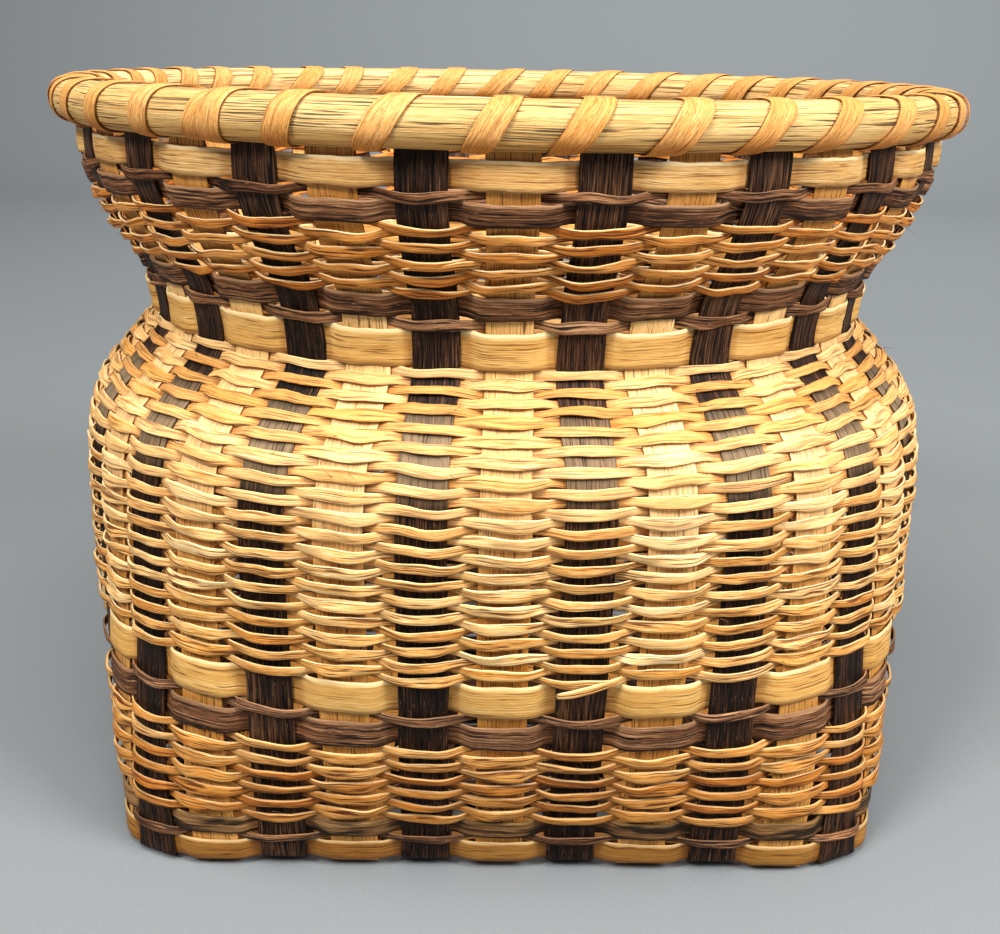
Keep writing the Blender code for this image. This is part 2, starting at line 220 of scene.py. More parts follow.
def make(name, grid, closed, us, width, thick, prof, tone, mat, cuts=None):
    """A splint's mesh from its cross-sections.  grid is stations x profile in
    mm, us the length at each station.  The UV map 'splint' holds metres along
    and across; the map for baking lays the splint out in stacked runs."""
    m, k = grid.shape[:2]
    j = np.arange(m if closed else m - 1)
    kk = np.arange(k)
    j2, k2 = (j + 1) % m, (kk + 1) % k
    quads = np.stack([j[:, None] * k + kk, j2[:, None] * k + kk,
                      j2[:, None] * k + k2, j[:, None] * k + k2], -1)
    quads = quads.reshape(-1, 4)
    verts = grid.reshape(-1, 3) * MM
    step = np.hypot(np.diff(np.r_[prof[:, 0], prof[0, 0]]) * thick / 2,
                    np.diff(np.r_[prof[:, 1], prof[0, 1]]) * width / 2)
    vs = np.r_[0, np.cumsum(step)]
    around = vs[-1]
    vq = np.stack([vs[:-1], vs[:-1], vs[1:], vs[1:]], -1)
    uq = np.stack([us[:-1], us[1:], us[1:], us[:-1]], -1)
    uv = np.zeros((len(j), k, 4, 2))
    uv[..., 0] = uq[:, None, :]
    uv[..., 1] = vq[None, :, :]
    total = us[-1] - us[0]
    runs = max(1, int(round(math.sqrt(total / (around * 1.12)))))
    per = int(math.ceil(len(j) / runs))
    seg = j // per
    at = (us[:-1] - us[seg * per]) / np.maximum(total / runs, 1e-9) * 0.97
    to = (us[1:] - us[seg * per]) / np.maximum(total / runs, 1e-9) * 0.97
    scale = max(1.0, float(to.max()))
    bq = np.stack([at, to, to, at], -1) / scale * 0.985 + 0.005
    bv = (seg[:, None, None] + 0.03 + vq[None] / around * 0.88) / runs
    bake = np.zeros((len(j), k, 4, 2))
    bake[..., 0] = bq[:, None, :]
    bake[..., 1] = bv
    uv, bake = uv.reshape(-1, 2), bake.reshape(-1, 2)
    # outward faces
    a, b, c = verts[quads[:, 0]], verts[quads[:, 1]], verts[quads[:, 2]]
    d = verts[quads[:, 3]]
    vol = np.einsum("ij,ij->i", a, np.cross(b, c)).sum() \
        + np.einsum("ij,ij->i", a, np.cross(c, d)).sum()
    flip = vol < 0
    loops = quads.reshape(-1)
    counts = np.full(len(quads), 4)
    if flip:
        order = np.arange(len(loops)).reshape(-1, 4)[:, ::-1].reshape(-1)
        loops, uv, bake = loops[order], uv[order], bake[order]
    if not closed:
        caps = [np.arange(k), (m - 1) * k + np.arange(k)[::-1]]
        if not flip:
            caps = [caps[0][::-1], caps[1][::-1]]
        for n, cap in enumerate(caps):
            loops = np.r_[loops, cap]
            counts = np.r_[counts, k]
            v = vs[cap % k]
            uv = np.r_[uv, np.stack([np.full(k, us[0] if n == 0 else us[-1])
                                     + 0.2 * np.cos(v), v], -1)]
            ang = 2 * PI * np.arange(k) / k
            bake = np.r_[bake, np.stack(
                [0.2 + 0.5 * n + 0.012 * np.cos(ang),
                 (0.955 + 0.012 * np.sin(ang)) / runs], -1)]
    me = bpy.data.meshes.new(name)
    me.vertices.add(len(verts))
    me.vertices.foreach_set("co", verts.astype(np.float32).ravel())
    me.loops.add(len(loops))
    me.loops.foreach_set("vertex_index", loops.astype(np.int32))
    me.polygons.add(len(counts))
    me.polygons.foreach_set("loop_start",
                            np.r_[0, np.cumsum(counts)[:-1]].astype(np.int32))
    me.update(calc_edges=True)
    layer = me.uv_layers.new(name="splint")
    layer.data.foreach_set("uv", (uv * MM).astype(np.float32).ravel())
    layer = me.uv_layers.new(name="OFBake")
    layer.data.foreach_set("uv", bake.astype(np.float32).ravel())
    att = me.attributes.new("tone", "FLOAT_COLOR", "POINT")
    att.data.foreach_set("color", tone.reshape(-1, 4).astype(np.float32).ravel())
    me.shade_smooth()
    me.materials.append(mat)
    ob = bpy.data.objects.new(name, me)
    bpy.context.scene.collection.objects.link(ob)
    return ob


# ---------------------------------------------------------------- materials
def rgb(code):
    """Linear colour of a hex code."""
    v = [int(code[i:i + 2], 16) / 255 for i in (0, 2, 4)]
    return tuple(c / 12.92 if c <= 0.04045 else ((c + 0.055) / 1.055) ** 2.4
                 for c in v) + (1.0,)


class Shader:
    """Small helper that writes a node tree."""

    def __init__(self, name):
        self.mat = bpy.data.materials.new(name)
        self.mat.use_nodes = True
        self.nt = self.mat.node_tree
        self.nt.nodes.clear()
        self.out = self.nt.nodes.new("ShaderNodeOutputMaterial")
        self.bsdf = self.nt.nodes.new("ShaderNodeBsdfPrincipled")
        self.nt.links.new(self.bsdf.outputs[0], self.out.inputs[0])

    def put(self, socket, value):
        if isinstance(value, bpy.types.NodeSocket):
            self.nt.links.new(value, socket)
        else:
            socket.default_value = value

    def node(self, kind, **props):
        n = self.nt.nodes.new(kind)
        for key, value in props.items():
            setattr(n, key, value)
        return n

    def math(self, op, a, b=0.0, clamp=False):
        n = self.node("ShaderNodeMath", operation=op, use_clamp=clamp)
        self.put(n.inputs[0], a)
        self.put(n.inputs[1], b)
        return n.outputs[0]

    def vec(self, op, a, b):
        n = self.node("ShaderNodeVectorMath", operation=op)
        self.put(n.inputs[0], a)
        self.put(n.inputs[1], b)
        return n.outputs[0]

    def xyz(self, x, y, z):
        n = self.node("ShaderNodeCombineXYZ")
        for socket, value in zip(n.inputs, (x, y, z)):
            self.put(socket, value)
        return n.outputs[0]

    def noise(self, vec, scale, detail=2.0, rough=0.55):
        n = self.node("ShaderNodeTexNoise", noise_dimensions="3D")
        self.put(n.inputs["Vector"], self.vec("MULTIPLY", vec, scale))
        n.inputs["Scale"].default_value = 1.0
        n.inputs["Detail"].default_value = detail
        n.inputs["Roughness"].default_value = rough
        return n.outputs[0]

    def ramp(self, fac, stops):
        n = self.node("ShaderNodeValToRGB")
        self.put(n.inputs[0], fac)
        cr = n.color_ramp
        while len(cr.elements) < len(stops):
            cr.elements.new(0.5)
        for e, (pos, code) in zip(cr.elements, stops):
            e.position = pos
            e.color = rgb(code) if isinstance(code, str) else code
        return n.outputs[0]

    def step(self, fac, lo, hi):
        """0 below lo, 1 above hi, smooth between (lo may exceed hi)."""
        n = self.node("ShaderNodeMapRange", interpolation_type="SMOOTHSTEP")
        self.put(n.inputs["Value"], fac)
        n.inputs["From Min"].default_value = lo
        n.inputs["From Max"].default_value = hi
        n.inputs["To Min"].default_value = 0.0
        n.inputs["To Max"].default_value = 1.0
        return n.outputs[0]

    def mix(self, fac, a, b, mode="MIX"):
        n = self.node("ShaderNodeMix", data_type="RGBA", blend_type=mode)
        self.put(n.inputs[0], fac)
        self.put(n.inputs[6], a if isinstance(a, bpy.types.NodeSocket) else rgb(a))
        self.put(n.inputs[7], b if isinstance(b, bpy.types.NodeSocket) else rgb(b))
        return n.outputs[2]

    def coords(self):
        """(place on the splint, row's random number, over/under, edge, height)"""
        uv = self.node("ShaderNodeUVMap", uv_map="splint")
        at = self.node("ShaderNodeAttribute", attribute_name="tone")
        sep = self.node("ShaderNodeSeparateColor")
        self.nt.links.new(at.outputs["Color"], sep.inputs[0])
        r, g, b = sep.outputs
        p = self.vec("ADD", uv.outputs[0], self.xyz(
            self.math("MULTIPLY", r, 7.13), self.math("MULTIPLY", r, 3.71),
            self.math("MULTIPLY", r, 5.3)))
        return p, r, g, b, at.outputs["Alpha"]

    def finish(self, colour, rough, height, strength, distance, spec=0.3):
        self.put(self.bsdf.inputs["Base Color"], colour)
        self.put(self.bsdf.inputs["Roughness"], rough)
        self.bsdf.inputs["Specular IOR Level"].default_value = spec
        b = self.node("ShaderNodeBump")
        b.inputs["Strength"].default_value = strength
        b.inputs["Distance"].default_value = distance
        self.put(b.inputs["Height"], height)
        self.nt.links.new(b.outputs[0], self.bsdf.inputs["Normal"])
        return self.mat


def splint(name, stops, streak, edge, lines=0.75, ticks=None, tint=None,
           low_shade=None, blotch=None, line_width=0.03, bump=0.55, rough=(0.5, 0.74),
           edge_amount=0.75, fine_amount=0.3, edge_shadow=("8A5A2A", 0.55),
           shoulder_highlight=None, spec=0.25, long=1.0, gain=1.9,
           pitch=620, warm=1.03, tick_scale=(260, 2500), grain_scale=(42, 1500),
           neck_shade=None):
    """Split oak: long grain, thin wandering grain lines, paler cut edges with a
    painted highlight on the top edge, painted shadow along the lower edge and painted
    shade by height.
    """
    s = Shader(name)
    p, row, over, rim, high = s.coords()
    sway = s.math("SUBTRACT", s.noise(p, (16, 60, 1), 2.0), 0.5)
    q = s.vec("ADD", p, s.xyz(0.0, s.math("MULTIPLY", sway, 0.0032), 0.0))
    grain = s.noise(q, grain_scale + (1,), 4.0, 0.62)
    fine = s.noise(q, (190, 5200, 1), 2.0, 0.6)
    cloud = s.noise(p, (11, 36, 1), 2.0)
    f = s.math("ADD", s.math("MULTIPLY", grain, 0.62),
               s.math("ADD", s.math("MULTIPLY", fine, fine_amount),
                      s.math("MULTIPLY", cloud, 0.30)))
    # spread round the middle, so that grain runs through the whole ramp
    f = s.math("ADD", s.math("MULTIPLY", s.math("SUBTRACT", f, 0.5 * (
        0.92 + fine_amount)), gain), 0.5)
    col = s.ramp(f, stops)
    contour = s.noise(q, (17 * long, pitch, 1), 1.5, 0.5)
    line = s.step(s.math("ABSOLUTE", s.math("SUBTRACT", contour, 0.5)),
                  line_width, line_width * 0.3)
    broken = s.step(s.noise(p, (70 * long, 900, 1), 1.0), 0.42, 0.56)
    line = s.math("MULTIPLY", line, broken)
    col = s.mix(s.math("MULTIPLY", line, lines), col, streak)
    height = s.math("SUBTRACT", s.math("ADD", grain, s.math("MULTIPLY", fine, 0.6)),
                    s.math("MULTIPLY", line, 0.55))
    if ticks:
        colour, lo, hi, amount = ticks
        t = s.step(s.noise(q, tick_scale + (1,), 1.0), lo, hi)
        col = s.mix(s.math("MULTIPLY", t, amount), col, colour)
        height = s.math("SUBTRACT", height, s.math("MULTIPLY", t, 0.4))
    if blotch:
        colour, lo, hi, amount = blotch
        t = s.step(s.noise(p, (38, 170, 1), 2.5, 0.6), lo, hi)
        col = s.mix(s.math("MULTIPLY", t, amount), col, colour)
    # painted shade by height: darker low down on the wall, the bottom row, hoop and
    # lashing, and in the neck under the rim's overhang
    for colour, lo, hi, amount in [z for z in (low_shade, neck_shade) if z]:
        t = s.step(high, lo, hi)
        col = s.mix(s.math("MULTIPLY", t, amount), col, s.mix(
            1.0, col, colour, "MULTIPLY"))
    if shoulder_highlight:                       # painted highlight on the shoulder, where the top light falls brightest
        colour, centre, spread, amount = shoulder_highlight
        t = s.step(s.math("ABSOLUTE", s.math("SUBTRACT", high, centre)),
                   spread, spread * 0.4)
        t = s.math("MULTIPLY", t, s.step(grain, 0.30, 0.52))
        col = s.mix(s.math("MULTIPLY", t, amount), col, colour)
    if tint:
        colour, amount = tint
        col = s.mix(s.math("MULTIPLY", row, amount), col,
                    s.mix(1.0, col, colour, "MULTIPLY"))
    # painted shade where the splint dives behind an upright
    under = s.step(over, 0.5, 0.1)
    col = s.mix(s.math("MULTIPLY", under, 0.5), col,
                s.mix(1.0, col, "B98F5C", "MULTIPLY"))
    # pale top edge: partly the paler cut edge, partly a painted highlight where the
    # top edge catches the light, weaker lower down
    col = s.mix(s.math("MULTIPLY", s.step(rim, 0.55, 1.0), s.math(
        "MULTIPLY", s.math("ADD", s.step(high, 0.12, 0.40), 0.7), edge_amount / 1.7)),
        col, edge)
    # painted shadow along the lower edge of each row and the side edges of uprights
    # and wraps
    col = s.mix(s.math("MULTIPLY", s.step(rim, 0.45, 0.0), edge_shadow[1]),
                col, edge_shadow[0])
    hsv = s.node("ShaderNodeHueSaturation")
    hsv.inputs["Saturation"].default_value = warm
    s.put(hsv.inputs["Color"], col)
    col = hsv.outputs[0]
    r = s.node("ShaderNodeMapRange")
    s.put(r.inputs["Value"], grain)
    r.inputs["From Min"].default_value = 0.3
    r.inputs["From Max"].default_value = 0.7
    r.inputs["To Min"].default_value = rough[1]
    r.inputs["To Max"].default_value = rough[0]
    return s.finish(col, r.outputs[0], height, bump, 0.0003, spec)


WIDE = splint("splint_wide_natural",
              [(0.10, "845020"), (0.34, "B88242"), (0.54, "CFA45F"),
               (0.86, "EAD09E")], "6A3C16", "F0DAA6", lines=0.75,
              tint=("EED4A8", 0.7), edge_shadow=("84522A", 0.6),
              low_shade=("B4A488", 0.10, 0.05, 0.9), line_width=0.04,
              pitch=760, gain=1.35, grain_scale=(30, 2300),
              fine_amount=0.4)
WIDE_RIM = splint("splint_wide_rim",
                  [(0.10, "865224"), (0.34, "B48044"), (0.54, "CEA468"),
                   (0.86, "EAD4A4")], "6A3C16", "F4E2B4", lines=0.75,
                  edge_shadow=("84522A", 0.6), line_width=0.035, pitch=820,
                  gain=1.6, grain_scale=(30, 2400), fine_amount=0.4)
NARROW_LIGHT = splint("splint_narrow_straw",
                      [(0.08, "8A5622"), (0.32, "C68C48"), (0.54, "E6B876"),
                       (0.90, "FBE6BA")], "5E3010", "F6E0B0", lines=0.95,
                      tint=("EACA92", 0.8), edge_shadow=("583210", 0.85),
                      low_shade=("D0B690", 0.24, 0.15, 0.9),
                      neck_shade=("E4BE90", 0.73, 0.78, 0.85),
                      shoulder_highlight=("F4CA92", 0.60, 0.15, 0.4), line_width=0.06,
                      pitch=860, grain_scale=(38, 2200), fine_amount=0.45,
                      gain=2.3, bump=0.8)
NARROW_TAN = splint("splint_narrow_tan",
                    [(0.08, "744216"), (0.32, "B4783A"), (0.54, "DAA662"),
                     (0.90, "F6DAA8")], "582E10", "ECD4A0", lines=0.9,
                    tint=("E8C898", 0.8), edge_shadow=("4C2A0E", 0.9),
                    low_shade=("CAAE88", 0.24, 0.15, 0.9),
                    neck_shade=("E2BA8A", 0.73, 0.78, 0.85),
                    shoulder_highlight=("F0C68E", 0.61, 0.14, 0.45), line_width=0.065,
                    pitch=860, grain_scale=(38, 2200), fine_amount=0.45,
                    gain=2.3, bump=0.8)
UP_LIGHT = splint("upright_natural",
                  [(0.08, "A87236"), (0.32, "D09C58"), (0.54, "E2B87A"),
                   (0.90, "F6DEB0")], "5A3212", "B88848", lines=0.85,
                  ticks=("5A3212", 0.64, 0.71, 0.6), gain=1.5,
                  low_shade=("DEBE90", 0.54, 0.40, 0.8), tint=("F0D8B0", 0.5),
                  neck_shade=("E2BE90", 0.74, 0.80, 0.8),
                  shoulder_highlight=("F4D4A4", 0.60, 0.12, 0.4), pitch=700,
                  line_width=0.035, edge_shadow=("7A4A1C", 0.8))
UP_DARK = splint("upright_walnut",
                 [(0.14, "040201"), (0.36, "180C06"), (0.56, "362014"),
                  (0.90, "7C5A40")], "020100", "1E120C", lines=0.95,
                 ticks=("A08468", 0.68, 0.78, 0.5), gain=2.4,
                 shoulder_highlight=("9A8468", 0.605, 0.058, 0.75), tint=("D8C0AC", 0.4),
                 line_width=0.075, bump=1.0, rough=(0.45, 0.7), pitch=620,
                 edge_amount=0.4, edge_shadow=("100905", 0.7), spec=0.14)
WEAVE_DARK = splint("weaver_walnut",
                    [(0.10, "1A0C06"), (0.34, "4A2E1C"), (0.56, "7A5236"),
                     (0.88, "C89E76")], "100602", "A88260", lines=0.95,
                    ticks=("C8A682", 0.66, 0.76, 0.55), tint=("D0AE90", 0.6),
                    line_width=0.075, bump=1.0, rough=(0.48, 0.72), gain=2.5,
                    edge_amount=0.7, edge_shadow=("160B06", 0.8), spec=0.16,
                    pitch=600)
WEAVE_BLOTCH = splint("weaver_walnut_blotched",
                      [(0.08, "341F0E"), (0.34, "5E4024"), (0.56, "84603C"),
                       (0.90, "C09A6C")], "1E1006", "B0905E", lines=0.85,
                      blotch=("0B0705", 0.45, 0.58, 0.90),
                      tint=("D8C4A4", 0.5), bump=0.9, edge_amount=0.5,
                      edge_shadow=("180E08", 0.8), spec=0.16, line_width=0.06)
LASH = splint("lashing_oak",
              [(0.10, "945C26"), (0.34, "BC803E"), (0.54, "D0985A"),
               (0.90, "E6C28A")], "6E4214", "74461A", lines=0.5,
              ticks=("80501E", 0.56, 0.66, 0.62), bump=0.6, gain=1.3,
              low_shade=("F0CC9E", 0.42, 0.10, 0.75), line_width=0.035,
              edge_shadow=("5C3410", 0.95), tick_scale=(430, 4300), pitch=820,
              grain_scale=(110, 2600), fine_amount=0.25)
HOOP = splint("hoop_oak",
              [(0.12, "906A38"), (0.34, "B48A50"), (0.52, "CAA46A"),
               (0.90, "E2C48E")], "44321C", "E8D49C", lines=0.95,
              bump=1.0, low_shade=("FFF0DC", 0.42, 0.12, 1.0), gain=1.75,
              line_width=0.06, long=0.6, pitch=980, grain_scale=(20, 2500),
              fine_amount=0.4)
HOOP_IN = splint("hoop_oak_inner",
                 [(0.10, "9A6C38"), (0.34, "C4965A"), (0.54, "D8B27C"),
                  (0.90, "EED8AA")], "5E3C1A", "E0BC80", lines=0.85,
                 bump=0.8, gain=1.6, long=0.5, pitch=560, line_width=0.07)


# ------------------------------------------------------------------ weavers
M_ROW = N_UP * 16
U_ROW = 20 + np.arange(M_ROW) / 16          # the seam lies at the back

BOW = ([0, 12, 30, 70, 100, 150, 172, 186, 210, 226, 245, 262, 285, 305],
       [1.9, 2.0, 2.4, 2.5, 2.5, 2.4, 2.0, 1.6, 1.5, 1.7, 2.0, 2.3, 2.3, 2.1])
SAG = ([0, 30, 70, 100, 120, 150, 185, 224, 250, 285, 305],
       [0.2, 0.5, 0.5, 0.7, 0.8, 0.7, 0.15, 0.15, 0.5, 0.5, 0.2])
WANDER = ([0, 20, 100, 130, 215, 225, 260, 290, 305],
          [0.25, 0.3, 0.3, 0.38, 0.45, 0.3, 0.45, 0.3, 0.2])


def corner_boost(u, s):
    d = np.min([np.abs(u % N_UP - c) for c in CORNERS], axis=0)
    return 1 + 0.12 * np.exp(-(d / 0.8) ** 2) * np.clip((210 - s) / 60, 0, 1)


def weave(number, s0, s1, kind, mat, node, thick):
    """Row number of the wall; odd rows pass in front of natural uprights."""
    rng = np.random.default_rng(1000 + number)
    u = U_ROW
    mid, width = (s0 + s1) / 2, s1 - s0
    sign = 1.0 if number % 2 else -1.0
    shift = wander(rng, u, 8, 60, 0.022)
    x = PI * (u + shift)
    c = sign * (np.cos(x) - 0.10 * np.cos(3 * x)) / 0.9
    bow = np.interp(mid, *BOW) * (1 + wander(rng, u, 6, 40, 0.10))
    if kind == "wide":                       # flat over the upright, then a dive
        c = sign * np.cos(x) / np.sqrt(np.cos(x) ** 2 + 0.14) * 1.068
        bow = bow * 0.80
    elif mat is WEAVE_DARK:
        bow = bow * 0.82
    else:
        bow = bow * corner_boost(u, mid)
    if number == 67:
        bow = bow * 0.8
    n = bow * c * (1 + 0.10 * c)
    drop = np.interp(mid, *SAG) * (0.45 if kind == "wide" else 1.0)
    drift = np.interp(mid, *WANDER) * (0.5 if kind == "wide" else 1.0)
    s = mid + drop * (1 - c) / 2 * (1 + wander(rng, u, 5, 30, 0.12)) \
        + drift * field(u, mid)
    if kind == "narrow":
        neck = mid > 254
        s = s + wander(rng, u, 14, 70, 0.30 if neck else 0.15)
        # packed edge to edge where rows pass each other, wider where they don't
        swell = 0.08 if mat is WEAVE_DARK else 0.20 if neck else \
            (0.46 if number % 2 else 0.15)
        if 53 < number < 65 and number % 2:
            swell = 0.68
        w = width * (0.94 + swell * np.abs(c) ** 1.5) \
            * (1 + wander(rng, u, 4, 50, 0.10 if neck else 0.06)
               + wander(rng, u, 60, 200, 0.02))
        tilt = wander(rng, u, 6, 50, 0.13)
    else:
        w = width * (1 + wander(rng, u, 3, 30, 0.014))
        tilt = wander(rng, u, 4, 26, 0.03)
    t = thick * (1 + wander(rng, u, 5, 40, 0.08))
    prof = profile(kind)
    a, b = prof[:, 0], prof[:, 1]
    fray = np.zeros((len(u), len(a)))
    rough = np.zeros((len(u), len(a)))       # split faces are never flat
    for k in np.nonzero(a > 0.9)[0]:
        rough[:, k] = wander(rng, u, 12, 150, 0.10 if kind == "wide" else 0.13)
    if kind == "wide":                       # edges are not cut dead straight
        e1, e2 = wander(rng, u, 20, 150, 0.10), wander(rng, u, 20, 150, 0.10)
        fray = np.where(b[None] > 0.9, e1[:, None], 0) \
            + np.where(b[None] < -0.9, e2[:, None], 0)
    sv = s[:, None] + b[None] * w[:, None] / 2 * np.cos(tilt)[:, None] + fray
    nv = n[:, None] + a[None] * t[:, None] / 2 + rough \
        + b[None] * w[:, None] / 2 * np.sin(tilt)[:, None]
    # a wide splint cups a little between its edges
    if kind == "wide":
        nv = nv - 0.12 * (b[None] ** 2) * np.sign(c)[:, None] * np.abs(c)[:, None]
    grid = on_wall(u[:, None], np.maximum(z_of(sv), 0.15), nv)
    centre = grid.mean(1)
    us = np.r_[0, np.cumsum(np.linalg.norm(
        np.diff(np.vstack([centre, centre[:1]]), axis=0), axis=1))]
    tone = np.zeros(grid.shape[:2] + (4,))
    tone[..., 0] = rng.uniform()
    tone[..., 1] = (c * 0.5 + 0.5)[:, None]
    tone[..., 2] = np.where(b > 0.95, 1.0, np.where(b < -0.95, 0.0, 0.5))[None]
    tone[..., 3] = grid[..., 2] / 306.0
    name = "row_%02d_%s" % (number, node if kind == "wide" else "narrow")
    ob = make(name, grid, True, us, width, thick, prof, tone, mat)
    return ob


rows = []


def add_row(number, s0, s1, kind, mat, node, thick):
    ob = weave(number, s0, s1, kind, mat, node.split("_", 2)[-1], thick)
    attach(ob, "root")
    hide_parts(node)
    rows.append(ob)


GAP = 0.35
WIDE_ROWS = [
    (67, 5.0, 15.6, WIDE, "splint_natural", "weaver_67_wide_natural"),
    (65, 19.2, 28.0, WEAVE_BLOTCH, "splint_walnut", "weaver_65_wide_dark"),
    (53, 69.4, 82.1, WEAVE_DARK, "splint_walnut", "weaver_53_wide_dark"),
    (51, 86.3, 101.6, WIDE, "splint_natural", "weaver_51_wide_natural"),
    (15, 224.8, 239.0, WIDE, "splint_natural", "weaver_15_wide_natural"),
    (13, 243.4, 253.7, WEAVE_DARK, "splint_walnut", "weaver_13_wide_dark"),
    (3, 282.7, 290.9, WEAVE_DARK, "splint_walnut", "weaver_03_wide_dark"),
    (1, 294.5, 304.2, WIDE_RIM, "splint_natural", "weaver_01_wide_natural"),
]
DARK_ROWS = [
    (66, 15.6, 19.2, "weaver_66_narrow_dark"),
    (52, 82.1, 86.3, "weaver_52_narrow_dark"),
    (14, 239.0, 243.4, "weaver_14_narrow_dark"),
    (2, 290.9, 294.5, "weaver_02_narrow_dark"),
]
BANDS = [
    (64, 54, 28.0, 69.4, 3.35, 1.2, "lower_narrow_weavers"),
    (50, 16, 101.6, 224.8, 3.42, 1.05, "body_narrow_weavers"),
    (12, 4, 253.7, 282.7, 3.05, 1.0, "neck_narrow_weavers"),
]
for number, s0, s1, mat, slot, node in WIDE_ROWS:
    add_row(number, s0 + GAP / 2, s1 - GAP / 2, "wide", mat, node, 0.85)
for number, s0, s1, node in DARK_ROWS:
    add_row(number, s0 + 0.1, s1 - 0.1, "narrow", WEAVE_DARK,
            node, 0.95)
for low, high, s0, s1, width, thick, node in BANDS:
    n = low - high + 1
    for k in range(n):
        mid = s0 + (k + 0.5) * (s1 - s0) / n
        number = low - k
        mat = NARROW_LIGHT if number % 2 else NARROW_TAN
        add_row(number, mid - width / 2, mid + width / 2, "narrow", mat,
                node, thick)


# ----------------------------------------------------------------- uprights
UP_T = 0.85
S_TOP = float(np.interp(303.2, np.arange(ZTOP + 1.0), S_OF_Z))


def smooth01(x):
    x = np.clip(x, 0.0, 1.0)
    return x * x * (3 - 2 * x)


